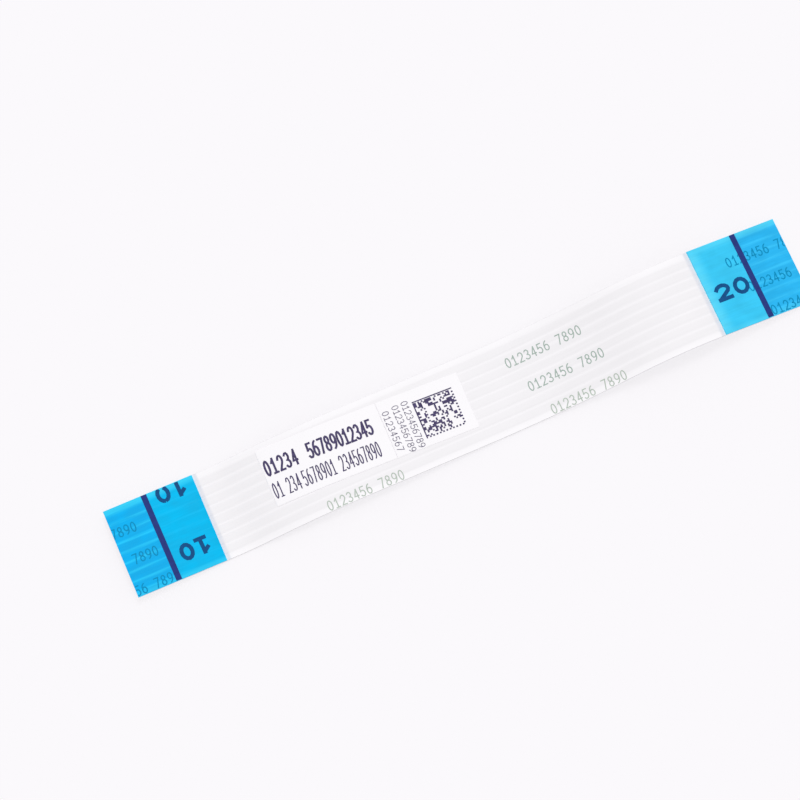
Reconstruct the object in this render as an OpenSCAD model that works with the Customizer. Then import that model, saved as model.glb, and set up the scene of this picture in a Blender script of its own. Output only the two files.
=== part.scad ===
// Flat flex cable: eight flat conductors between two white films, blue stiffener
// tapes on the ends, two paper labels. Lengths in mm, angles in degrees, +Z up.
// Every layer is a strip between two offsets of one bent centre line, so the layers
// share the same fold lines and meet face to face.

/* [Cable] */
// number of flat conductors
conductor_count = 8; // [4:1:8]
// distance between conductor centres
pitch = 1.0; // [0.5:0.05:1.25]
// width of one conductor
conductor_width = 0.7; // [0.3:0.05:0.9]
// thickness of one conductor
conductor_thickness = 0.1; // [0.04:0.01:0.15]
// plain film beside the outer conductors, from the conductor centre line
edge_from_centre = 1.0; // [0.6:0.05:1.5]

/* [Film] */
// film thickness over a conductor
film_over_conductor = 0.05; // [0.03:0.01:0.12]
// film thickness in the dips between conductors
film_in_dip = 0.06; // [0.03:0.01:0.12]
// film beside a conductor that stands up with its rib
rib_side_width = 0.07; // [0.03:0.01:0.14]
// length of bare contact under each end
contact_length = 4.5; // [2:0.5:6]

/* [Stiffeners] */
// length of the right stiffener tape
stiffener_length = 9.4; // [6:0.1:14]
// length of the left stiffener tape
left_stiffener_length = 9.15; // [6:0.05:14]
// lean of the left tape and of the cut through the left end, seen from above
left_cut_angle = 2; // [0:0.1:5]
// thickness of a stiffener above the ribs
stiffener_thickness = 0.15; // [0.1:0.01:0.3]

/* [Labels] */
// long label, size along the cable
long_label_length = 12.3; // [6:0.1:16]
// code label, size along the cable
code_label_length = 8.4; // [6:0.1:12]
// size of both labels across the cable
label_width = 5.8; // [3:0.1:7]
// thickness of a label above the ribs
label_thickness = 0.07; // [0.05:0.01:0.12]
// turn of the labels on the cable, seen from above
label_angle = -2; // [-5:0.5:5]
// distance of the shared label edge from the left end
label_joint = 28; // [20:0.1:40]
// shift of the labels toward the far edge
label_shift = 0.6; // [-1:0.1:1]

/* [Lie of the cable] */
// largest turn between two flat facets of a bend
facet_angle = 2.7; // [1:0.1:6]
// slope of the left stiffened end
start_angle = -4.76; // [-10:0.01:0]
// length of the trough after the left stiffener
trough_length = 4.1; // [3:0.1:8]
// turn of the trough
trough_angle = 16; // [8:0.1:22]
// length of the first low rise
rise_length = 10.5; // [8:0.1:14]
// turn of the first low rise
rise_angle = -14.3; // [-20:0.1:-8]
// length of the long shallow middle
middle_length = 12; // [8:0.1:16]
// turn of the long shallow middle
middle_angle = -1.4; // [-6:0.1:-0.5]
// length of the foot of the hump
foot_length = 16; // [10:0.1:20]
// turn of the foot of the hump
foot_angle = 18.3; // [10:0.1:24]
// length of the crest of the hump
crest_length = 9.6; // [7:0.1:14]
// turn of the crest of the hump
crest_angle = -25; // [-34:0.1:-14]

/* [Hidden] */

// heights in the section, measured from the middle of the conductors
half_conductor = conductor_thickness / 2;
rib_top = half_conductor + film_over_conductor;
stiffener_top = rib_top + stiffener_thickness;
label_top = rib_top + label_thickness;

// places across the section
centre_span = (conductor_count - 1) * pitch;
half_width = centre_span / 2 + edge_from_centre;
function lane(k) = (k - 1) * pitch - centre_span / 2;
rib_width = conductor_width + 2 * rib_side_width;

// runs of the centre line, each a length and a turn, cut into straight facets
run_length = [stiffener_length, trough_length, rise_length, middle_length,
    foot_length, crest_length, stiffener_length];
run_angle = [0, trough_angle, rise_angle, middle_angle, foot_angle, crest_angle, 0];
function run_slope(i) = i == 0 ? start_angle : run_slope(i - 1) + run_angle[i - 1];
function facets(i) = max(1, ceil(abs(run_angle[i]) / facet_angle));
slope = [for (i = [0 : len(run_angle) - 1]) for (j = [0 : facets(i) - 1])
    run_slope(i) + run_angle[i] * (j + 0.5) / facets(i)];
facet = [for (i = [0 : len(run_angle) - 1]) for (j = [0 : facets(i) - 1])
    run_length[i] / facets(i)];
last = len(facet) - 1;

// fold k stands at this distance along the cable and at this point
function direction(k) = [cos(slope[k]), sin(slope[k])];
function normal(k) = [-sin(slope[k]), cos(slope[k])];
distance = [for (k = 0, d = 0; k <= last + 1; d = d + (k <= last ? facet[k] : 0), k = k + 1) d];
fold = [for (k = 0, p = [0, 0]; k <= last + 1;
    p = p + (k <= last ? facet[k] * direction(k) : [0, 0]), k = k + 1) p];
cable_length = distance[last + 1];

// mitre at fold k: the offset lines of both neighbours cross on it
function mitre(k) = (normal(k - 1) + normal(k)) / (1 + normal(k - 1) * normal(k));

// point at distance d and height h, inside a facet or past an end
function facet_at(d, k = 0) = k == last || d < distance[k + 1] ? k : facet_at(d, k + 1);
function point_at(d, h) = let (k = facet_at(d))
    fold[k] + (d - distance[k]) * direction(k) + h * normal(k);

// line at height h from distance a to distance b
function level(h, a, b) = concat([point_at(a, h)],
    [for (k = [1 : last]) if (distance[k] > a && distance[k] < b) fold[k] + h * mitre(k)],
    [point_at(b, h)]);

// the lowest line rests on the ground, the ends lie evenly about the middle
lowest = min([for (p = concat(level(-rib_top, contact_length, cable_length - contact_length),
    level(-half_conductor, 0, cable_length))) p[1]]);
left_reach = min(point_at(0, -half_conductor)[0], point_at(0, stiffener_top)[0]);
right_reach = max(point_at(cable_length, -half_conductor)[0],
    point_at(cable_length, stiffener_top)[0]);
centring = [-(left_reach + right_reach) / 2, -lowest];

// cuts reach this far past what they cut, and stand this tall
past = 1;
tall = 12;

// band between two leaning lines, measured along the cable from the near corner of
// the left end, for the cut through that end and for the inner edge of its tape
module left_band(from, to) {
    translate([centring[0] + left_reach, -half_width, 0]) rotate([0, 0, -left_cut_angle])
        translate([from, -past, -past])
            cube([to - from, 2 * (half_width + past), tall]);
}

// strip between two heights, from distance a to b along and y0 to y1 across
module strip(low, high, a, b, y0, y1) {
    floor_line = level(low, a, b);
    roof_line = level(high, a, b);
    count = len(roof_line);
    translate([centring[0], y1, centring[1]]) rotate([90, 0, 0]) linear_extrude(y1 - y0)
        polygon(concat(floor_line, [for (k = [1 : count]) roof_line[count - k]]));
}

// strip centred on the lane of conductor k
module lane_strip(k, low, high, a, b, width) {
    strip(low, high, a, b, lane(k) - width / 2, lane(k) + width / 2);
}

// film with a rib over every conductor; side is 1 above the conductors, -1 below
module film(side, a, b) {
    dip = side * film_in_dip;
    top = side * rib_top;
    seat = side * half_conductor;
    difference() {
        union() {
            strip(min(0, dip), max(0, dip), a, b, -half_width, half_width);
            for (k = [1 : conductor_count])
                lane_strip(k, min(seat, top), max(seat, top), a, b, rib_width);
        }
        for (k = [1 : conductor_count])
            lane_strip(k, -half_conductor, half_conductor, a - past, b + past, conductor_width);
    }
}

// layer lying on the ribbed film, flat on top
module cover(top, a, b) {
    difference() {
        strip(film_in_dip, top, a, b, -half_width, half_width);
        for (k = [1 : conductor_count])
            lane_strip(k, 0, rib_top, a - past, b + past, rib_width);
    }
}

module top_film() {
    color([0.955, 0.945, 0.958]) difference() {
        film(1, -past, cable_length);
        left_band(-2 * past, 0);
    }
}

module bottom_film() {
    color([0.94, 0.93, 0.94]) film(-1, contact_length, cable_length - contact_length);
}

module conductor(k) {
    color([0.78, 0.78, 0.80]) difference() {
        lane_strip(k, -half_conductor, half_conductor, -past, cable_length, conductor_width);
        left_band(-2 * past, 0);
    }
}

module stiffener_left() {
    color([0.16, 0.75, 0.94]) difference() {
        cover(stiffener_top, -past, left_stiffener_length + past);
        left_band(-2 * past, 0);
        left_band(left_stiffener_length, left_stiffener_length + 3 * past);
    }
}

module stiffener_right() {
    color([0.20, 0.70, 0.90])
        cover(stiffener_top, cable_length - stiffener_length, cable_length);
}

// paper label from the joint on, cut to a turned rectangle
module label(from, length) {
    intersection() {
        cover(label_top, label_joint + from - past, label_joint + from + length + past);
        translate([label_joint + centring[0], label_shift, 0]) rotate([0, 0, label_angle])
            translate([from, -label_width / 2, 0])
                cube([length, label_width, tall]);
    }
}

module label_long() {
    color([0.975, 0.965, 0.985]) label(-long_label_length, long_label_length);
}

module label_code() {
    color([0.975, 0.965, 0.985]) label(0, code_label_length);
}

top_film();
bottom_film();
conductor(1);  // conductor_1
conductor(2);  // conductor_2
conductor(3);  // conductor_3
conductor(4);  // conductor_4
conductor(5);  // conductor_5
conductor(6);  // conductor_6
conductor(7);  // conductor_7
conductor(8);  // conductor_8
stiffener_left();
stiffener_right();
label_long();
label_code();
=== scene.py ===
import math

import bpy
import numpy as np
from mathutils import Matrix, Vector


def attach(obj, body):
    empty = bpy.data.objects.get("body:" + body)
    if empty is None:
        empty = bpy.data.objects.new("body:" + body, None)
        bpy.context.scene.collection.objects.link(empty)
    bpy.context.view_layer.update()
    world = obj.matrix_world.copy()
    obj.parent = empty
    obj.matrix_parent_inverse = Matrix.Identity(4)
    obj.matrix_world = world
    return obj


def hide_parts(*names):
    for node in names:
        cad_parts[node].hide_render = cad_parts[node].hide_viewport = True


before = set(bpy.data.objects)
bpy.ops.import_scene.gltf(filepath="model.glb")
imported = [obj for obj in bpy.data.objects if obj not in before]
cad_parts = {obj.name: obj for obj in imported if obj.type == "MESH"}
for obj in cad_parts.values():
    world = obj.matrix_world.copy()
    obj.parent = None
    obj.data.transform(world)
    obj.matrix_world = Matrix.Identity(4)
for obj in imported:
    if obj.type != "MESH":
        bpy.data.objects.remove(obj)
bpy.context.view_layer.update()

print("frame loaded with", len(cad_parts), "nodes")

mm = 0.001  # everything below is worked out in millimetres and placed in metres


def direction(azimuth, elevation):
    # unit vector from the cable to where a camera or a lamp stands, angles in degrees
    around, up = math.radians(azimuth), math.radians(elevation)
    level = math.cos(up)
    return np.array([level * math.cos(around), level * math.sin(around), math.sin(up)])


cameraPlace = {
    "target": (-4.699, 3.058, 0.0),
    "azimuth": -114.29,  # degrees round the target, from the cable's right end
    "elevation": 74.86,
    "distance": 613.9,
    "roll": -0.273,  # degrees
    "lens": 289.9,
    "sensorWidth": 36.0,
}


def makeCamera(place):
    # stands back from the target along one direction, then rolls a little about its own axis
    around, roll = math.radians(place["azimuth"]), math.radians(place["roll"])
    back = direction(place["azimuth"], place["elevation"])
    right = np.array([-math.sin(around), math.cos(around), 0.0])
    above = np.cross(back, right)
    turnedRight = right * math.cos(roll) + above * math.sin(roll)
    turnedUp = -right * math.sin(roll) + above * math.cos(roll)
    at = (np.array(place["target"]) + place["distance"] * back) * mm
    data = bpy.data.cameras.new("camera")
    data.lens, data.sensor_width = place["lens"], place["sensorWidth"]
    camera = bpy.data.objects.new("camera", data)
    bpy.context.scene.collection.objects.link(camera)
    rows = [[turnedRight[i], turnedUp[i], back[i], at[i]] for i in range(3)]
    camera.matrix_world = Matrix(rows + [[0.0, 0.0, 0.0, 1.0]])
    bpy.context.scene.camera = camera


makeCamera(cameraPlace)
print("camera placed")


lie = {
    "startAngle": -4.76,  # slope of the left end, degrees
    # each run: its length along the cable, and by how many degrees it turns up or down
    "runs": [
        (9.4, 0.0),  # left end, stiff
        (4.1, 16.0),  # trough after it
        (10.5, -14.3),  # first low rise
        (12.0, -1.4),  # long shallow middle
        (16.0, 18.3),  # foot of the hump
        (9.6, -25.0),  # crest of the hump
        (9.4, 0.0),  # right end, stiff
    ],
    "facetTurn": 2.7,  # the solids bend in straight facets that turn by this much at most
    "foldReach": 1.0,  # each fold between two facets is rounded this far on both sides
    "points": 3551,  # the line is worked out at this many points
    "bareContact": 4.5,  # no lower film under the last stretch of each end
}

section = {
    "halfWidth": 4.5,
    "outerLane": 3.5,  # middle of the outermost conductor
    "halfConductor": 0.05,
    "halfConductorWidth": 0.35,
    "ribTop": 0.10,
    "dip": 0.06,
    "ribShoulder": 0.2,  # the rib falls from here ...
    "ribFoot": 0.50,  # ... to here, measured from the middle of its conductor
    "tapeTop": 0.25,
    "labelTop": 0.17,
    "leftLean": 2.0,  # the cut through the left end and the tape there lean, degrees
}


def centreLine():
    # the heading is a facet's slope along its middle and changes evenly round each fold;
    # its cosine and sine, summed, give the line, which then goes down to the ground
    # and is centred between its two ends
    lengths, slopes, slope = [], [], lie["startAngle"]
    for length, turn in lie["runs"]:
        count = max(1, math.ceil(abs(turn) / lie["facetTurn"]))
        lengths += [length / count] * count
        slopes += [slope + turn * (step + 0.5) / count for step in range(count)]
        slope += turn
    folds = np.cumsum(lengths)[:-1]
    reach = np.minimum(lie["foldReach"], np.minimum(lengths[:-1], lengths[1:]) / 2)
    knots = np.stack([folds - reach, folds + reach], axis=-1).ravel()
    along = np.linspace(0.0, sum(lengths), lie["points"])
    heading = np.radians(np.interp(along, knots, np.repeat(slopes, 2)[1:-1]))
    middle = (heading[1:] + heading[:-1]) / 2
    x = np.concatenate([[0.0], np.cumsum(np.cos(middle) * np.diff(along))])
    z = np.concatenate([[0.0], np.cumsum(np.sin(middle) * np.diff(along))])
    covered = (along >= lie["bareContact"]) & (along <= along[-1] - lie["bareContact"])
    under = np.where(covered, section["ribTop"], section["halfConductor"])
    z = z - np.min(z - under * np.cos(heading))
    levels = np.array([-section["halfConductor"], section["tapeTop"]])
    corners = x[[0, -1], None] - levels * np.sin(heading[[0, -1], None])
    return along, heading, x - (corners.min() + corners.max()) / 2, z


lineAlong, lineHeading, lineX, lineZ = centreLine()
cableLength = lineAlong[-1]


def onCable(along, across, height):
    # the centre line's point, moved sideways by across and out along the line's normal
    # by height; past the left end the line goes straight on
    heading = np.interp(along, lineAlong, lineHeading)
    before = np.minimum(along, 0.0)
    x = np.interp(along, lineAlong, lineX) + before * np.cos(heading) - height * np.sin(heading)
    z = np.interp(along, lineAlong, lineZ) + before * np.sin(heading) + height * np.cos(heading)
    return np.stack(np.broadcast_arrays(x, across, z), axis=-1) * mm


def leftLine(across, height, distance=0.0):
    # where an upright plane, leaning as the left end's cut does and standing that far
    # behind it, meets a level of the cable
    slope, lean = lineHeading[0], math.radians(section["leftLean"])
    corner = section["halfConductor"] * math.sin(slope)
    x = corner + distance / math.cos(lean) + math.tan(lean) * (across + section["halfWidth"])
    return (x + height * math.sin(slope)) / math.cos(slope)


def fromLane(across):
    # distance from the middle of the nearest conductor
    lane = np.clip(np.floor(across) + 0.5, -section["outerLane"], section["outerLane"])
    return np.abs(across - lane)


def ribFall(across):
    # 0 on top of a rib, growing by half a cosine wave to 1 in the dip beside it
    width = section["ribFoot"] - section["ribShoulder"]
    fall = np.clip((fromLane(across) - section["ribShoulder"]) / width, 0, 1)
    return (1 - np.cos(np.pi * fall)) / 2


def ribHeight(across):
    # the film's height above the middle of the conductors, from the rib's top to the dip
    return section["ribTop"] - (section["ribTop"] - section["dip"]) * ribFall(across)


def conductorHeight(across):
    # half a conductor's thickness over a conductor, and 0 beside it
    return section["halfConductor"] * (fromLane(across) < section["halfConductorWidth"])


def slab(top, bottom):
    # closed thin body between two grids of points: their faces, and a strip round the rim
    rows, columns = top.shape[:2]
    t = np.arange(rows * columns).reshape(rows, columns)
    b = t + rows * columns

    def quads(p, q, r, s):
        return np.stack([p, q, r, s], axis=-1).reshape(-1, 4)

    faces = np.concatenate([
        quads(t[:-1, :-1], t[1:, :-1], t[1:, 1:], t[:-1, 1:]),
        quads(b[:-1, :-1], b[:-1, 1:], b[1:, 1:], b[1:, :-1]),
        quads(b[:-1, 0], b[1:, 0], t[1:, 0], t[:-1, 0]),
        quads(b[1:, -1], b[:-1, -1], t[:-1, -1], t[1:, -1]),
        quads(b[0, 1:], b[0, :-1], t[0, :-1], t[0, 1:]),
        quads(b[-1, :-1], b[-1, 1:], t[-1, 1:], t[-1, :-1]),
    ])
    return np.concatenate([top.reshape(-1, 3), bottom.reshape(-1, 3)]), faces


def makePiece(name, slabs, material, replaces=(), sharp=32):
    # one object out of several slabs, smooth except where faces meet at more than sharp degrees
    starts = np.cumsum([0] + [len(points) for points, faces in slabs])
    points = np.concatenate([points for points, faces in slabs])
    faces = np.concatenate([faces + start for (p, faces), start in zip(slabs, starts)])
    mesh = bpy.data.meshes.new(name)
    mesh.vertices.add(len(points))
    mesh.vertices.foreach_set("co", points.astype(np.float32).ravel())
    mesh.loops.add(faces.size)
    mesh.loops.foreach_set("vertex_index", faces.astype(np.int32).ravel())
    mesh.polygons.add(len(faces))
    mesh.polygons.foreach_set("loop_start", np.arange(0, faces.size, 4, dtype=np.int32))
    mesh.update(calc_edges=True)
    mesh.validate()
    mesh.shade_smooth()
    mesh.set_sharp_from_angle(angle=math.radians(sharp))
    mesh.materials.append(material)
    piece = bpy.data.objects.new(name, mesh)
    bpy.context.scene.collection.objects.link(piece)
    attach(piece, "root")
    if replaces:
        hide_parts(*replaces)
    print("made", name, "with", len(faces), "faces")
    return piece


def layer(along, across, top, bottom, lean=None):
    # a slab whose upper and lower heights are functions of the place on the cable;
    # lean moves its stations along the cable, so that an end can stand askew
    alongGrid, acrossGrid = np.meshgrid(along, across, indexing="ij")
    levels = []
    for level in (top, bottom):
        height = level(alongGrid, acrossGrid)
        place = alongGrid if lean is None else lean(alongGrid, acrossGrid, height)
        levels.append(onCable(place, acrossGrid, height))
    return slab(*levels)


def feed(tree, socket, value):
    # gives an input another node's output, or else a fixed number or colour
    if isinstance(value, bpy.types.NodeSocket):
        tree.links.new(value, socket)
    else:
        socket.default_value = value


def addNode(tree, kind, inputs=None, **settings):
    made = tree.nodes.new(kind)
    for name, value in settings.items():
        setattr(made, name, value)
    for name, value in (inputs or {}).items():
        feed(tree, made.inputs[name], value)
    return made


def compute(tree, operation, first, second=0.0):
    return addNode(tree, "ShaderNodeMath", {0: first, 1: second}, operation=operation).outputs[0]


def ramp(tree, value, low, high, start=0.0, end=1.0):
    # goes smoothly from start at low to end at high
    return addNode(tree, "ShaderNodeMapRange", {
        "Value": value, "From Min": low, "From Max": high, "To Min": start, "To Max": end,
    }, interpolation_type="SMOOTHSTEP").outputs[0]


def blendColour(tree, amount, first, second):
    mix = addNode(tree, "ShaderNodeMix", {"Factor": amount}, data_type="RGBA")
    for socket, value in zip([s for s in mix.inputs if s.type == "RGBA"], (first, second)):
        feed(tree, socket, value)
    return [s for s in mix.outputs if s.type == "RGBA"][0]


noiseRange = (0.3, 0.7)  # most of a noise lies between these


def shade(tree, colour, levels, grain):
    # the colour, multiplied by a level that goes between the two given as the grain does
    level = ramp(tree, grain, *noiseRange, *levels)
    scaled = addNode(tree, "ShaderNodeVectorMath", {0: colour, 3: level}, operation="SCALE")
    return scaled.outputs[0]


def paint(red, green, blue):
    # screen colour, 0 to 255, as the linear colour that nodes take
    c = np.array([red, green, blue]) / 255
    linear = np.where(c <= 0.04045, c / 12.92, ((c + 0.055) / 1.055) ** 2.4)
    return (*[float(v) for v in linear], 1.0)


def startMaterial(name, **constants):
    # a new material with fixed values on its shader, and the place in millimetres
    material = bpy.data.materials.new(name)
    material.use_nodes = True
    tree = material.node_tree
    shader = next(n for n in tree.nodes if n.type == "BSDF_PRINCIPLED")
    for socket, value in constants.items():
        shader.inputs[socket.replace("_", " ")].default_value = value
    place = addNode(tree, "ShaderNodeTexCoord").outputs["Object"]
    inMm = addNode(tree, "ShaderNodeVectorMath", {0: place, 1: (1 / mm, 1 / mm, 1 / mm)},
                   operation="MULTIPLY").outputs[0]
    axes = addNode(tree, "ShaderNodeSeparateXYZ", {0: inMm})
    return material, tree, shader, inMm, axes


def grainNoise(tree, inMm, stretch, detail):
    # noise with that many cells in a millimetre along, across and up
    moved = addNode(tree, "ShaderNodeVectorMath", {0: inMm, 1: stretch}, operation="MULTIPLY")
    return addNode(tree, "ShaderNodeTexNoise",
                   {"Vector": moved.outputs[0], "Scale": 1.0, "Detail": detail}).outputs[0]


def finishSurface(tree, shader, colour, roughness, bumps, depth):
    # colour and roughness into the shader, and the bump height as real depth in millimetres
    tree.links.new(colour, shader.inputs["Base Color"])
    tree.links.new(roughness, shader.inputs["Roughness"])
    bump = addNode(tree, "ShaderNodeBump",
                   {"Height": bumps, "Strength": 1.0, "Distance": depth * mm})
    tree.links.new(bump.outputs[0], shader.inputs["Normal"])


def laneDistance(tree, axes):
    # 0 on the middle of a conductor, 0.5 halfway to the next one
    turns = compute(tree, "FRACT", axes.outputs["Y"])
    return compute(tree, "ABSOLUTE", compute(tree, "SUBTRACT", turns, 0.5))


# in the looks below, grain is cells in a millimetre along, across and up, then its detail
filmLook = {
    "overConductor": paint(242, 240, 243),
    "laneFade": (0.18, 0.5),  # that tone fades over this distance from a conductor's middle ...
    "lanesEnd": (3.88, 3.98),  # ... and stops beside the outermost conductors
    "betweenConductors": paint(247, 245, 248),
    "margin": paint(250, 248, 251),
    "marginFade": (3.7, 4.35),
    "shadedCutEdge": paint(202, 200, 204),  # the cut long sides are greyer than the faces, partly their own grey and partly painted shade for the thin shadow line along the near edge
    "shadedCutEdgeFade": (4.488, 4.498),
    "shadedAdhesive": paint(229, 229, 236),  # thin greyer line beside the inner edge of each tape: the adhesive's edge, darkened by painted shade from the tape's step
    "shadedAdhesiveStarts": (9.335, 61.6),  # places along the cable
    "shadedAdhesiveWidth": 0.3,
    "shadedAdhesiveFade": (0.2, 0.25),  # how softly the line begins and ends
    "lowerLevel": 0.985,  # the lower film is a touch greyer
    "streakGrain": ((0.12, 9.0, 1.0), 4.0),
    "streakLevels": (0.985, 1.005),
    "cloudGrain": ((0.35, 0.35, 0.35), 2.0),
    "cloudLevels": (0.992, 1.004),
    "speckGrain": ((14.0, 14.0, 14.0), 2.0),
    "roughness": (0.34, 0.46),
    "roughnessRange": (0.25, 0.75),  # it goes from the first to the second over these
    "bumpShares": (0.8, 0.25),  # of the streaks and the specks
    "bumpDepth": 0.006,
}


def filmMaterial(name, level, shadedAdhesiveEdges):
    # white film, greyer over the conductors, with thin lines of adhesive darkened by painted shade
    # at the given edges, and painted shade on its cut long sides
    material, tree, shader, inMm, axes = startMaterial(name, Specular_IOR_Level=0.22, IOR=1.5)
    look = filmLook
    fromMiddle = compute(tree, "ABSOLUTE", axes.outputs["Y"])
    onLane = compute(tree, "MULTIPLY",
                     ramp(tree, laneDistance(tree, axes), *look["laneFade"], 1.0, 0.0),
                     ramp(tree, fromMiddle, *look["lanesEnd"], 1.0, 0.0))
    colour = blendColour(tree, onLane, look["betweenConductors"], look["overConductor"])
    colour = blendColour(tree, ramp(tree, fromMiddle, *look["marginFade"]), colour, look["margin"])
    lean = math.tan(math.radians(section["leftLean"]))
    leaning = compute(tree, "ADD", axes.outputs["X"],
                      compute(tree, "MULTIPLY", axes.outputs["Y"], -lean))
    # lines of adhesive with painted shade, just beyond the inner edges of the tapes
    width, (begins, ends) = look["shadedAdhesiveWidth"], look["shadedAdhesiveFade"]
    for place, edge, side in zip((leaning, axes.outputs["X"]), shadedAdhesiveEdges, (1, -1)):
        away = compute(tree, "MULTIPLY", compute(tree, "SUBTRACT", place, edge), side)
        line = compute(tree, "MULTIPLY", ramp(tree, away, 0.0, begins),
                       ramp(tree, away, width, width + ends, 1.0, 0.0))
        colour = blendColour(tree, line, colour, look["shadedAdhesive"])
    # painted shade: the cut long sides darker, for the shadow line along the near edge
    colour = blendColour(tree, ramp(tree, fromMiddle, *look["shadedCutEdgeFade"]),
                         colour, look["shadedCutEdge"])
    streaks = grainNoise(tree, inMm, *look["streakGrain"])
    clouds = grainNoise(tree, inMm, *look["cloudGrain"])
    specks = grainNoise(tree, inMm, *look["speckGrain"])
    colour = shade(tree, colour, [level * limit for limit in look["streakLevels"]], streaks)
    colour = shade(tree, colour, look["cloudLevels"], clouds)
    roughness = ramp(tree, streaks, *look["roughnessRange"], *look["roughness"])
    bumps = compute(tree, "ADD", compute(tree, "MULTIPLY", streaks, look["bumpShares"][0]),
                    compute(tree, "MULTIPLY", specks, look["bumpShares"][1]))
    finishSurface(tree, shader, colour, roughness, bumps, look["bumpDepth"])
    return material


tapeLook = {
    "left": {"inner": paint(0, 187, 241), "sheenInnerEdge": paint(0, 187, 240),
             "outer": paint(10, 178, 242), "streak": paint(36, 200, 252),
             "edge": paint(56, 213, 252)},
    # the right tape's colours are all paler, a painted sheen, and paler still at its inner edge, a
    # painted highlight
    "right": {"inner": paint(60, 201, 245), "sheenInnerEdge": paint(90, 216, 250),
              "outer": paint(44, 182, 241), "streak": paint(58, 196, 250),
              "edge": paint(82, 214, 250)},
    "outerFade": (31.0, 31.2),  # the outer zone begins here, from the middle of the cable
    # the inner edge's painted highlight fades out over this reach from the middle
    "sheenInnerEdgeFade": (26.1, 27.4),
    "betweenFade": (0.24, 0.5),  # streaks show between the conductors ...
    "betweenPatches": (0.3, 0.6, 0.25, 1.0),  # ... in patches, by the streaky grain ...
    "betweenInner": 0.2,  # ... and only this much in the inner zone
    "farEdgeFade": (3.6, 4.4, 0.0, 0.8),
    "edgeFade": (3.9, 4.4, 0.0, 0.6),  # both long edges
    "cloudGrain": ((0.5, 0.7, 0.5), 4.0),
    "cloudLevels": (0.94, 1.04),
    "streakGrain": ((0.25, 5.0, 1.0), 3.0),
    "streakLevels": (0.97, 1.03),
    "roughness": (0.30, 0.42),
    "bumpShares": (0.7, 0.6),  # of the streaks and the clouds
    "bumpDepth": 0.006,
}


def tapeMaterial(name, colours):
    # blue tape over the ribs: paler between the conductors and along its long edges, and at its
    # inner edge a painted highlight, which only the right tape's colours carry
    material, tree, shader, inMm, axes = startMaterial(name, Specular_IOR_Level=0.035, IOR=1.5)
    look = tapeLook
    fromMiddle = compute(tree, "ABSOLUTE", axes.outputs["Y"])
    reach = compute(tree, "ABSOLUTE", axes.outputs["X"])
    outer = ramp(tree, reach, *look["outerFade"])
    clouds = grainNoise(tree, inMm, *look["cloudGrain"])
    streaks = grainNoise(tree, inMm, *look["streakGrain"])
    colour = blendColour(tree, outer, colours["inner"], colours["outer"])
    # painted highlight along the inner edge
    colour = blendColour(tree, ramp(tree, reach, *look["sheenInnerEdgeFade"], 1.0, 0.0),
                         colour, colours["sheenInnerEdge"])
    between = compute(tree, "MULTIPLY", ramp(tree, laneDistance(tree, axes), *look["betweenFade"]),
                      ramp(tree, streaks, *look["betweenPatches"]))
    between = compute(tree, "MULTIPLY", between,
                      ramp(tree, outer, 0.0, 1.0, look["betweenInner"], 1.0))
    colour = blendColour(tree, between, colour, colours["streak"])
    colour = blendColour(tree, ramp(tree, axes.outputs["Y"], *look["farEdgeFade"]),
                         colour, colours["edge"])
    colour = blendColour(tree, ramp(tree, fromMiddle, *look["edgeFade"]), colour, colours["edge"])
    colour = shade(tree, colour, look["cloudLevels"], clouds)
    colour = shade(tree, colour, look["streakLevels"], streaks)
    roughness = ramp(tree, clouds, *noiseRange, *look["roughness"])
    bumps = compute(tree, "ADD", compute(tree, "MULTIPLY", streaks, look["bumpShares"][0]),
                    compute(tree, "MULTIPLY", clouds, look["bumpShares"][1]))
    finishSurface(tree, shader, colour, roughness, bumps, look["bumpDepth"])
    return material


paperLook = {
    "face": paint(252, 250, 253),
    "fibreGrain": ((4.0, 6.0, 4.0), 5.0),
    "fibreLevels": (0.99, 1.002),
    "cloudGrain": ((0.4, 0.4, 0.4), 2.0),
    "cloudLevels": (0.995, 1.003),
    "roughness": (0.5, 0.62),
    "bumpDepth": 0.004,
}


def paperMaterial(name):
    material, tree, shader, inMm, axes = startMaterial(name, Specular_IOR_Level=0.25, IOR=1.45)
    fibres = grainNoise(tree, inMm, *paperLook["fibreGrain"])
    clouds = grainNoise(tree, inMm, *paperLook["cloudGrain"])
    colour = shade(tree, paperLook["face"][:3], paperLook["fibreLevels"], fibres)
    colour = shade(tree, colour, paperLook["cloudLevels"], clouds)
    roughness = ramp(tree, fibres, *noiseRange, *paperLook["roughness"])
    finishSurface(tree, shader, colour, roughness, fibres, paperLook["bumpDepth"])
    return material


inkLook = {
    # each ink: its colour, how patchy it is, and for one a colour along the near edge
    "inks": {
        "lineInk": {"colour": paint(42, 58, 126), "patchy": 0.12},
        "markInk": {"colour": paint(22, 80, 134), "patchy": 0.12},
        "labelInk": {"colour": paint(78, 70, 106), "patchy": 0.2},
        "fineInk": {"colour": paint(98, 92, 118), "patchy": 0.2},
        "greenInk": {"colour": paint(168, 184, 176), "patchy": 0.06,
                     "nearColour": paint(186, 197, 187)},
        "tealInk": {"colour": paint(8, 142, 190), "patchy": 0.06},
    },
    "nearFade": (-3.6, -1.6),
    "grain": ((3.0, 3.0, 3.0), 3.0),
    "roughness": (0.4, 0.55),
    "bumpDepth": 0.002,
}


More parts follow.
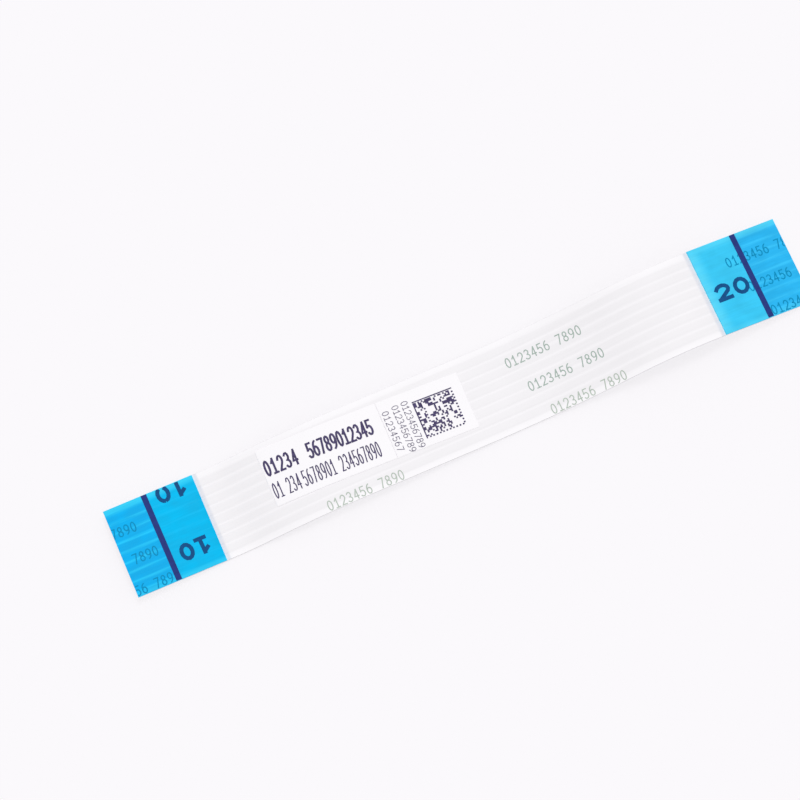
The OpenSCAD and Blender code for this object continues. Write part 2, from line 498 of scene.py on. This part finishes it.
def inkMaterial(name, ink):
    # printed ink: its colour a little uneven, as it goes on thinner in places
    material, tree, shader, inMm, axes = startMaterial(name, Specular_IOR_Level=0.06, IOR=1.45)
    spread = grainNoise(tree, inMm, *inkLook["grain"])
    colour = ink["colour"][:3]
    if "nearColour" in ink:
        nearness = ramp(tree, axes.outputs["Y"], *inkLook["nearFade"], 1.0, 0.0)
        colour = blendColour(tree, nearness, ink["colour"], ink["nearColour"])
    colour = shade(tree, colour, (1 - ink["patchy"], 1 + ink["patchy"]), spread)
    roughness = ramp(tree, spread, *noiseRange, *inkLook["roughness"])
    finishSurface(tree, shader, colour, roughness, spread, inkLook["bumpDepth"])
    return material


tinLook = {
    "bright": paint(214, 213, 214),
    "dull": paint(192, 190, 190),
    "patchGrain": ((0.9, 1.4, 0.9), 3.0),
    "patchFade": (0.35, 0.7),
    "drawnGrain": ((0.3, 22.0, 22.0), 4.0),
    "drawnLevels": (0.93, 1.02),
    "roughness": (0.24, 0.4),
    "bumpDepth": 0.004,
}


def tinMaterial(name):
    # tin plate over copper, drawn lengthwise, with dull patches
    material, tree, shader, inMm, axes = startMaterial(name, Metallic=1.0)
    drawn = grainNoise(tree, inMm, *tinLook["drawnGrain"])
    patches = grainNoise(tree, inMm, *tinLook["patchGrain"])
    colour = blendColour(tree, ramp(tree, patches, *tinLook["patchFade"]),
                         tinLook["bright"], tinLook["dull"])
    colour = shade(tree, colour, tinLook["drawnLevels"], drawn)
    roughness = ramp(tree, patches, *noiseRange, *tinLook["roughness"])
    finishSurface(tree, shader, colour, roughness, drawn, tinLook["bumpDepth"])
    return material


# where the lines of adhesive and painted shade begin, along the cable
shadedAdhesiveEdges = onCable(np.array(filmLook["shadedAdhesiveStarts"]), 0.0, section["ribTop"])[:, 0] / mm
materials = {
    "film": filmMaterial("filmUpper", 1.0, shadedAdhesiveEdges),
    "filmUnder": filmMaterial("filmLower", filmLook["lowerLevel"], ()),
    "leftTape": tapeMaterial("blueTapeLeft", tapeLook["left"]),
    # this copy carries the painted sheen and highlight
    "rightTape": tapeMaterial("blueTapeRightSheen", tapeLook["right"]),
    "paper": paperMaterial("labelPaper"),
    "tin": tinMaterial("tinPlate"),
}
for inkName, ink in inkLook["inks"].items():
    materials[inkName] = inkMaterial(inkName, ink)
print("materials ready")


filmShape = {
    "stations": 121,
    # columns over one lane, from its middle; the close pair stands for the conductor's wall
    "columns": [-0.5, -0.46, -0.42, -0.385, -0.352, -0.348, -0.31, -0.27, -0.23, -0.19, -0.06,
                0.06, 0.19, 0.23, 0.27, 0.31, 0.348, 0.352, 0.385, 0.42, 0.46],
    "marginColumns": [4.0, 4.2, 4.4, 4.492, 4.5],
}

lanes = np.arange(-section["outerLane"], section["outerLane"] + 1)
filmColumns = np.concatenate([
    -np.array(filmShape["marginColumns"])[:0:-1],
    (lanes[:, None] + np.array(filmShape["columns"])).ravel(),
    filmShape["marginColumns"],
])


def askewStart(along, across, height):
    # stations that lie on the leaning cut at the left end and stand square at the right end
    return along + leftLine(across, height) * (1 - along / cableLength)


topFilm = makePiece(
    "topFilm",
    [layer(np.linspace(0, cableLength, filmShape["stations"]), filmColumns,
           lambda along, across: ribHeight(across),
           lambda along, across: conductorHeight(across), askewStart)],
    materials["film"], ["top_film"])

makePiece(
    "bottomFilm",
    [layer(np.linspace(lie["bareContact"], cableLength - lie["bareContact"], filmShape["stations"]),
           filmColumns,
           lambda along, across: -conductorHeight(across),
           lambda along, across: -ribHeight(across))],
    materials["filmUnder"], ["bottom_film"])


tapeShape = {
    "rightLength": 9.4,
    "leftLength": 9.15,
    "stations": 20,
    "rim": 0.03,  # the tape's upper edges are rounded over this distance ...
    "rimDrop": 0.024,  # ... and fall by this much
    "telegraph": 0.008,  # how much of the ribs shows through its face
}


def tapeFace(start, end):
    # flat face that sinks a little between the ribs, and falls by part of a circle at the
    # long edges, the inner edge and the end
    def height(along, across):
        face = section["tapeTop"] - tapeShape["telegraph"] * ribFall(across)
        toEdge = np.minimum(section["halfWidth"] - np.abs(across),
                            np.minimum(along - start, end - along))
        lip = np.clip(1 - toEdge / tapeShape["rim"], 0, 1)
        return face - tapeShape["rimDrop"] * (1 - np.sqrt(1 - lip ** 2))
    return height


def rimmed(values, rim):
    # the same values with a few more close to both ends, where the edge is rounded
    extra = np.array([0.2, 0.5, 1.0]) * rim
    return np.unique(np.concatenate([values, values[0] + extra, values[-1] - extra]))


def leanLeft(along, across, height):
    # the left tape's stations, all parallel to the cut of its end
    return leftLine(across, height, along)


def makeTape(name, start, end, material, slot, lean=None):
    # from the ribs up to the tape's face
    along = rimmed(np.linspace(start, end, tapeShape["stations"]), tapeShape["rim"])
    across = rimmed(filmColumns, tapeShape["rim"])
    return makePiece(
        name,
        [layer(along, across, tapeFace(start, end), lambda along, across: ribHeight(across), lean)],
        material, [slot])


leftTape = makeTape("leftTape", 0.0, tapeShape["leftLength"],
                    materials["leftTape"], "stiffener_left", leanLeft)
rightTape = makeTape("rightTape", cableLength - tapeShape["rightLength"], cableLength,
                     materials["rightTape"], "stiffener_right")


# points along the cable's middle line, from end to end
cordPoints = 36
cordLine = onCable(np.linspace(0, cableLength, cordPoints), 0.0, 0.0)


labelShape = {
    "joint": 28.0,  # place of the edge that both labels share
    "shift": 0.6,  # toward the far edge of the cable
    "turn": -2.0,  # degrees, seen from above
    "width": 5.8,
    "long": (-12.3, -0.03),  # each label's reach from the joint, with a thin gap between them
    "code": (0.03, 8.4),
    "grid": (30, 70),  # stations along and columns across, before the rim's own
    "telegraph": 0.004,  # how much of the ribs shows through its face
    "rim": 0.1,  # the paper thins out over this distance from its edges ...
    "rimDrop": 0.03,  # ... by this much
}
jointX = labelShape["joint"] + lineX[0]


def labelPlace(u, v):
    # a point on the turned labels, u along and v across from their joint, as a place on the cable
    turn = math.radians(labelShape["turn"])
    x = jointX + u * math.cos(turn) - v * math.sin(turn)
    y = labelShape["shift"] + u * math.sin(turn) + v * math.cos(turn)
    return np.interp(x, lineX, lineAlong), y


def makeLabel(name, span, slotNode):
    # a turned rectangle on the ribs: its face sinks a little between them, and thins out by
    # the square of the way across its rim
    half, rim = labelShape["width"] / 2, labelShape["rim"]
    u, v = np.meshgrid(rimmed(np.linspace(*span, labelShape["grid"][0]), rim),
                       rimmed(np.linspace(-half, half, labelShape["grid"][1]), rim), indexing="ij")
    along, across = labelPlace(u, v)
    toEdge = np.minimum(half - np.abs(v), np.minimum(u - span[0], span[1] - u))
    thinned = labelShape["rimDrop"] * np.clip(1 - toEdge / rim, 0, 1) ** 2
    face = section["labelTop"] - labelShape["telegraph"] * ribFall(across) - thinned
    sheet = slab(onCable(along, across, face), onCable(along, across, ribHeight(across)))
    return makePiece(name, [sheet], materials["paper"], [slotNode])


makeLabel("longLabel", labelShape["long"], "label_long")
makeLabel("codeLabel", labelShape["code"], "label_code")


for name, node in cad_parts.items():
    if name.startswith("conductor_"):
        node.data.materials.clear()
        node.data.materials.append(materials["tin"])
print("conductors finished")


def arc(cx, cy, rx, ry, start, end, count=7):
    # part of an ellipse between two angles in degrees
    t = np.radians(np.linspace(start, end, count))
    return np.stack([cx + rx * np.cos(t), cy + ry * np.sin(t)], axis=-1)


def joined(*parts):
    # one line through all the points given
    return np.concatenate([np.atleast_2d(part) for part in parts])


# pen strokes of the ten digits, in a box 1 wide and 1 high
digitStrokes = {
    "0": [arc(0.5, 0.5, 0.5, 0.5, 90, 450, 15)],
    "1": [joined((0.54, 1.0), (0.54, 0.0)),
          joined((0.12, 0.74), (0.46, 0.92)),
          joined((0.1, 0.0), (0.95, 0.0))],
    "2": [joined(arc(0.5, 0.7, 0.5, 0.3, 165, -35, 8), (0.08, 0.05)),
          joined((0.0, 0.0), (1.0, 0.0))],
    "3": [joined(arc(0.46, 0.75, 0.44, 0.25, 150, -90, 7),
                 arc(0.46, 0.25, 0.54, 0.25, 90, -150, 8)[1:])],
    "4": [joined((0.74, 0.0), (0.74, 1.0)),
          joined((0.68, 0.94), (0.0, 0.28), (1.0, 0.28))],
    "5": [joined((0.92, 1.0), (0.14, 1.0), (0.06, 0.54)),
          joined((0.06, 0.54), arc(0.46, 0.31, 0.54, 0.31, 110, -145, 8))],
    "6": [arc(0.5, 0.31, 0.5, 0.31, 180, 540, 13),
          arc(0.78, 0.4, 0.78, 0.6, 100, 185, 6)],
    "7": [joined((0.0, 1.0), (1.0, 1.0)),
          joined((0.94, 0.95), (0.34, 0.0))],
    "8": [arc(0.5, 0.76, 0.42, 0.24, 90, 450, 11),
          arc(0.5, 0.26, 0.5, 0.26, 90, 450, 13)],
    "9": [arc(0.5, 0.69, 0.5, 0.31, 0, 360, 13),
          arc(0.22, 0.6, 0.78, 0.6, -80, 5, 6)],
}

inkShape = {
    "proud": 0.008,  # a print stands this far above its surface
    "markProud": 0.012,
    "lineProud": 0.015,  # the insertion lines cover the small print they cross
    "crossingLift": 0.0006,  # strokes that cross don't share one plane
    "longStep": 9.0,  # a stroke on a flat surface needs no points in between
    "ribStep": 0.08,  # a stroke on the bare ribs follows them in these steps
    "sharp": 60,
}
cornerShape = {
    "widest": 1.5,  # a stroke grows no wider than this where its line turns a corner
    "tightest": 0.4,  # and corners sharper than this count as this
}
clipShape = {
    "step": 0.04,  # a cut line is followed in these steps
    "margin": 0.01,
    "fewest": 4,  # shorter stretches than this many points are left out
}
tiny = 1e-6  # points closer than this count as one


def spaced(line, step):
    # the same line with points no further apart than step, and none twice
    gaps = np.hypot(*np.diff(line, axis=0).T)
    moves = gaps > tiny
    line, gaps = line[np.concatenate([[True], moves])], gaps[moves]
    run = np.concatenate([[0.0], np.cumsum(gaps)])
    extra = [np.linspace(a, b, max(1, math.ceil((b - a) / step)), endpoint=False)
             for a, b in zip(run, run[1:])]
    at = np.append(np.concatenate(extra), run[-1])
    return np.stack([np.interp(at, run, line[:, 0]), np.interp(at, run, line[:, 1])], axis=-1)


def penStroke(line, pen, place, height, proud, box=None):
    # a flat band as wide as the pen along a line, lying on the surface and just proud of it;
    # each point's two sides stand off along the mean of its neighbouring steps' normals
    steps = np.diff(line, axis=0)
    steps /= np.hypot(steps[:, 0], steps[:, 1])[:, None]
    closed = np.allclose(line[0], line[-1])
    before = np.concatenate([steps[-1:] if closed else steps[:1], steps])
    after = np.concatenate([steps, steps[:1] if closed else steps[-1:]])
    heading = before + after
    size = np.hypot(heading[:, 0], heading[:, 1])
    left = np.stack([-heading[:, 1], heading[:, 0]], axis=-1) / size[:, None]
    wider = np.minimum(2 / np.maximum(size, cornerShape["tightest"]), cornerShape["widest"])
    reach = np.array([-1.0, 1.0])[None, :, None] * (pen / 2 * wider)[:, None, None]
    sides = line[:, None, :] + left[:, None, :] * reach
    if box is not None:
        sides = np.clip(sides, box[0], box[1])
    along, across = place(sides[..., 0], sides[..., 1])
    surface = height(across)
    return slab(onCable(along, across, surface + proud),
                onCable(along, across, surface - proud / 2))


def runsOf(flags):
    # start and end of every unbroken run of true values
    edges = np.flatnonzero(np.diff(np.concatenate([[0], flags.astype(int), [0]])))
    return zip(edges[::2], edges[1::2])


def inside(line, box):
    # the stretches of a line that stay within a box
    if box is None:
        return [line]
    line = spaced(line, clipShape["step"])
    low, high = np.array(box[0]) + clipShape["margin"], np.array(box[1]) - clipShape["margin"]
    kept = np.all((line >= low) & (line <= high), axis=1)
    return [line[a:b] for a, b in runsOf(kept) if b - a >= clipShape["fewest"]]


def squareEnds(line, reach):
    # an open line made longer at both ends, a closed one as it is
    if np.allclose(line[0], line[-1]):
        return line
    first, last = line[0] - line[1], line[-1] - line[-2]
    return np.concatenate([[line[0] + first * reach / np.hypot(*first)], line,
                           [line[-1] + last * reach / np.hypot(*last)]])


def writeDigits(text, start, baseline, advance, style, place, height,
                turn=0.0, step=inkShape["longStep"], proud=inkShape["proud"], box=None):
    # a row of digits as pen strokes, by the style's cap height, width and pen;
    # turn swings the whole row about its start, in degrees
    c, s = math.cos(math.radians(turn)), math.sin(math.radians(turn))
    cap, width, pen = style["cap"], style["width"], style["pen"]
    slabs = []
    for index, digit in enumerate(text):
        for stroke in digitStrokes.get(digit, []):  # a space has none
            local = stroke * [width - pen, cap - pen] + [index * advance + pen / 2, pen / 2]
            local = squareEnds(local, pen / 2)
            placed = np.stack([start + local[:, 0] * c - local[:, 1] * s,
                               baseline + local[:, 0] * s + local[:, 1] * c], axis=-1)
            for part in inside(placed, box):
                lift = inkShape["crossingLift"] * (len(slabs) % 3)
                slabs.append(penStroke(spaced(part, step), pen, place, height, proud + lift, box))
    return slabs


def makePrint(name, slabs, ink):
    # a print is a piece of its own, with its walls kept sharp
    return makePiece(name, slabs, materials[ink], sharp=inkShape["sharp"])


def straightPlace(along, across):
    # for prints that are laid out along and across the cable itself
    return along, across


def leanPlace(along, across):
    # counts the distance along from the leaning cut of the left end
    return along + leftLine(across, section["tapeTop"]), across


def onTape(across):
    return np.full_like(across, section["tapeTop"])


def onLabel(across):
    return np.full_like(across, section["labelTop"])


greenPrint = {
    "text": "0123456 7890",
    "rows": [1.49, -1.49, -4.44],  # baselines across the cable
    "starts": [-5.5, -4.46, -3.42],  # first run of each row
    "period": 23.4,
    "runs": 4,
    "length": 8.03,
    "cap": 1.04,
    "width": 0.52,
    "pen": 0.105,
    "openFilm": (9.5, 61.5),  # stretch between the tapes
    "leftTape": (0.0, 9.4),
    "leftBox": ((0.03, -4.46), (9.0, 4.46)),  # the print is cut off outside the boxes
    "rightTape": (61.6, 71.0),
    "rightBox": ((61.7, -4.46), (70.96, 4.46)),
}


def underLongLabel(start, end, baseline):
    # true for a run that the long label covers from end to end
    labelStart, labelEnd = [labelShape["joint"] + reach for reach in labelShape["long"]]
    nearEdge = labelShape["shift"] - labelShape["width"] / 2
    return start > labelStart and end < labelEnd and baseline > nearEdge


def greenRuns(zone, height, step, box=None, place=straightPlace):
    # every run of the repeated print that falls inside a stretch of the cable
    advance = greenPrint["length"] / len(greenPrint["text"])
    slabs = []
    for baseline, first in zip(greenPrint["rows"], greenPrint["starts"]):
        for number in range(greenPrint["runs"]):
            start = first + number * greenPrint["period"]
            end = start + greenPrint["length"]
            if end < zone[0] or start > zone[1] or underLongLabel(start, end, baseline):
                continue
            slabs += writeDigits(greenPrint["text"], start, baseline, advance, greenPrint,
                                 place, height, step=step, box=box)
    return slabs


makePrint("greenPrint", greenRuns(greenPrint["openFilm"], ribHeight, inkShape["ribStep"]),
          "greenInk")
# the same rows go on under the tapes and show through them
makePrint("tealPrint",
          greenRuns(greenPrint["leftTape"], onTape, inkShape["longStep"],
                    greenPrint["leftBox"], leanPlace)
          + greenRuns(greenPrint["rightTape"], onTape, inkShape["longStep"],
                      greenPrint["rightBox"]),
          "tealInk")


lineShape = {
    "left": ((4.45, 4.48), (4.22, -4.48)),  # far and near end of the left insertion line
    "right": ((66.46, 4.48), (66.48, -4.48)),
    "pen": 0.56,
    "step": 1.0,
}
makePrint("insertionLines",
          [penStroke(spaced(np.array(lineShape[side]), lineShape["step"]), lineShape["pen"],
                     straightPlace, onTape, inkShape["lineProud"])
           for side in ("left", "right")],
          "lineInk")


markShape = {
    "left": {"text": "10", "advance": 1.62, "cap": 1.76, "width": 1.4, "pen": 0.38},
    "right": {"text": "20", "advance": 1.93, "cap": 1.76, "width": 1.6, "pen": 0.38},
    "leftMiddle": (8.33, -1.36),  # starts of the two left marks, which stand upside down
    "leftFar": (8.53, 4.7),  # this one is cut off by the far edge
    "rightMiddle": (62.38, -1.4),
    "box": ((0.1, -4.47), (70.9, 4.47)),
}


def writeMark(side, start, turn, box=None):
    mark = markShape[side]
    return writeDigits(mark["text"], *start, mark["advance"], mark, straightPlace, onTape,
                       turn=turn, proud=inkShape["markProud"], box=box)


makePrint("endMarks",
          writeMark("left", markShape["leftMiddle"], 180)
          + writeMark("left", markShape["leftFar"], 180, markShape["box"])
          + writeMark("right", markShape["rightMiddle"], 0),
          "markInk")


# each group of a line: its digits, where it starts and how far apart they stand
labelText = {
    "boldLine": {"groups": [("01234", -12.11, 0.69), ("56789012345", -7.75, 0.607)],
                 "baseline": 0.09, "cap": 1.64, "width": 0.6, "pen": 0.205},
    "lightLine": {"groups": [("01", -12.1, 0.5), ("234", -10.72, 0.48), ("5678901", -9.1, 0.48),
                             ("234567890", -5.32, 0.465)],
                  "baseline": -2.22, "cap": 1.61, "width": 0.39, "pen": 0.11},
}
# each line of the small text, turned to run across the label: its digits, the point where
# it starts and how far apart they stand
smallText = {
    "lines": [("0123456789", 2.26, 2.07, 0.493),
              ("0123456789", 1.29, 2.0, 0.493),
              ("01234567", 0.22, 1.79, 0.536)],
    "turn": -90, "cap": 0.7, "width": 0.41, "pen": 0.062,
}
labelSlabs, fineSlabs = [], []
for line in labelText.values():
    for text, start, advance in line["groups"]:
        labelSlabs += writeDigits(text, start, line["baseline"], advance, line,
                                  labelPlace, onLabel)
for text, u, v, advance in smallText["lines"]:
    fineSlabs += writeDigits(text, u, v, advance, smallText,
                             labelPlace, onLabel, turn=smallText["turn"])


codeShape = {
    "low": (3.31, -2.15),  # corners on the label
    "high": (7.38, 1.71),
    "cells": 24,  # along each side
    "seed": 11,
    "share": 0.33,  # share of dark cells
    "clumps": 0.26,  # how strongly dark cells keep together
    "window": 5,  # over how many cells
    "thin": 0.7,  # the dashed sides are this much of a cell wide
    "depth": 0.004,  # the ink reaches this far into the paper
}


def codeSquare(shape):
    # square field of small cells: two solid sides, two dashed sides, and a clumpy scatter
    # inside, denser where a coarse random field, smoothed by averaging neighbours, is high
    cells, window, thin = shape["cells"], shape["window"], shape["thin"]
    draw = np.random.default_rng(shape["seed"])
    coarse = draw.normal(size=(cells + window - 1, cells + window - 1))
    smooth = sum(coarse[i:i + cells, j:j + cells]
                 for i in range(window) for j in range(window)) / window
    dark = draw.random((cells, cells)) < shape["share"] + shape["clumps"] * smooth
    dark[0, :], dark[:, -1] = True, True
    dark[-1, :] = np.arange(cells) % 2 == 1
    dark[:, 0] = np.arange(cells) % 2 == 0
    low, high = np.array(shape["low"]), np.array(shape["high"])
    size = (high - low) / cells
    slabs = []
    for row in range(cells):
        vLow = low[1] + size[1] * (row + (1 - thin if row == cells - 1 else 0))
        vHigh = low[1] + size[1] * (row + 1)
        for a, b in runsOf(dark[:, row]):
            uLow, uHigh = low[0] + size[0] * a, low[0] + size[0] * (thin if b == 1 else b)
            u, v = np.meshgrid([uLow, uHigh], [vLow, vHigh], indexing="ij")
            along, across = labelPlace(u, v)
            slabs.append(slab(onCable(along, across, section["labelTop"] + inkShape["proud"]),
                              onCable(along, across, section["labelTop"] - shape["depth"])))
    return slabs


makePrint("labelPrint", labelSlabs, "labelInk")
makePrint("labelFinePrint", fineSlabs, "fineInk")
makePrint("labelCode", codeSquare(codeShape), "labelInk")


studio = {
    "floorColour": (0.965, 0.947, 0.974, 1.0),
    "floorSize": 1.5,  # metres from its middle to its sides
    "floorDrop": 0.02,  # it lies this far below the cable
    "floorGlow": 0.78,  # how much of its colour is seen whether it is lit or in shadow
    "worldLevel": 0.77,  # even light from all sides
    "lampLevel": 0.23,  # light that the lamp puts on a level surface
    "lampAzimuth": 55.0,
    "lampElevation": 72.0,
    "lampSpread": 25.0,  # how wide the lamp looks from the cable, degrees
}


def seenDirectly(tree):
    # 1 for what the camera sees, straight, in a gloss or through something clear, and 0 for
    # light that falls on the object
    rays = addNode(tree, "ShaderNodeLightPath").outputs
    direct = compute(tree, "ADD", rays["Is Camera Ray"], rays["Is Glossy Ray"])
    return addNode(tree, "ShaderNodeMath", {0: direct, 1: rays["Is Transmission Ray"]},
                   operation="ADD", use_clamp=True).outputs[0]


def makeFloor(setting):
    # large level square whose colour is partly lit and partly seen as it is
    half, low = setting["floorSize"], -setting["floorDrop"] * mm
    mesh = bpy.data.meshes.new("floor")
    corners = [(-half, -half, low), (half, -half, low), (half, half, low), (-half, half, low)]
    mesh.from_pydata(corners, [], [(0, 1, 2, 3)])
    floor = bpy.data.objects.new("floor", mesh)
    bpy.context.scene.collection.objects.link(floor)
    material, tree, shader, inMm, axes = startMaterial(
        "floorSurface", Specular_IOR_Level=0.0, Roughness=1.0, Base_Color=setting["floorColour"])
    glow = addNode(tree, "ShaderNodeEmission", {"Color": setting["floorColour"], "Strength": 1.0})
    amount = compute(tree, "MULTIPLY", seenDirectly(tree), setting["floorGlow"])
    both = addNode(tree, "ShaderNodeMixShader",
                   {0: amount, 1: shader.outputs[0], 2: glow.outputs[0]})
    output = next(n for n in tree.nodes if n.type == "OUTPUT_MATERIAL")
    tree.links.new(both.outputs[0], output.inputs["Surface"])
    mesh.materials.append(material)


def makeWorld(setting):
    # even white light on the object, and the floor's colour where the camera looks past it
    world = bpy.data.worlds.new("world")
    bpy.context.scene.world = world
    world.use_nodes = True
    tree = world.node_tree
    tree.nodes.clear()
    seen = addNode(tree, "ShaderNodeBackground",
                   {"Color": setting["floorColour"], "Strength": 1.0})
    lit = addNode(tree, "ShaderNodeBackground",
                  {"Color": (1, 1, 1, 1), "Strength": setting["worldLevel"]})
    mixed = addNode(tree, "ShaderNodeMixShader",
                    {0: seenDirectly(tree), 1: lit.outputs[0], 2: seen.outputs[0]})
    addNode(tree, "ShaderNodeOutputWorld", {0: mixed.outputs[0]})


def makeLamp(setting):
    # one wide soft lamp from the far side
    lamp = bpy.data.lights.new("lamp", "SUN")
    lamp.angle = math.radians(setting["lampSpread"])
    lamp.energy = setting["lampLevel"] * math.pi / math.sin(math.radians(setting["lampElevation"]))
    toward = Vector(direction(setting["lampAzimuth"], setting["lampElevation"]))
    lampObject = bpy.data.objects.new("lamp", lamp)
    lampObject.rotation_euler = toward.to_track_quat("Z", "Y").to_euler()
    bpy.context.scene.collection.objects.link(lampObject)


makeFloor(studio)
makeWorld(studio)
makeLamp(studio)
bpy.context.scene.view_settings.view_transform = "Standard"
print("studio ready")
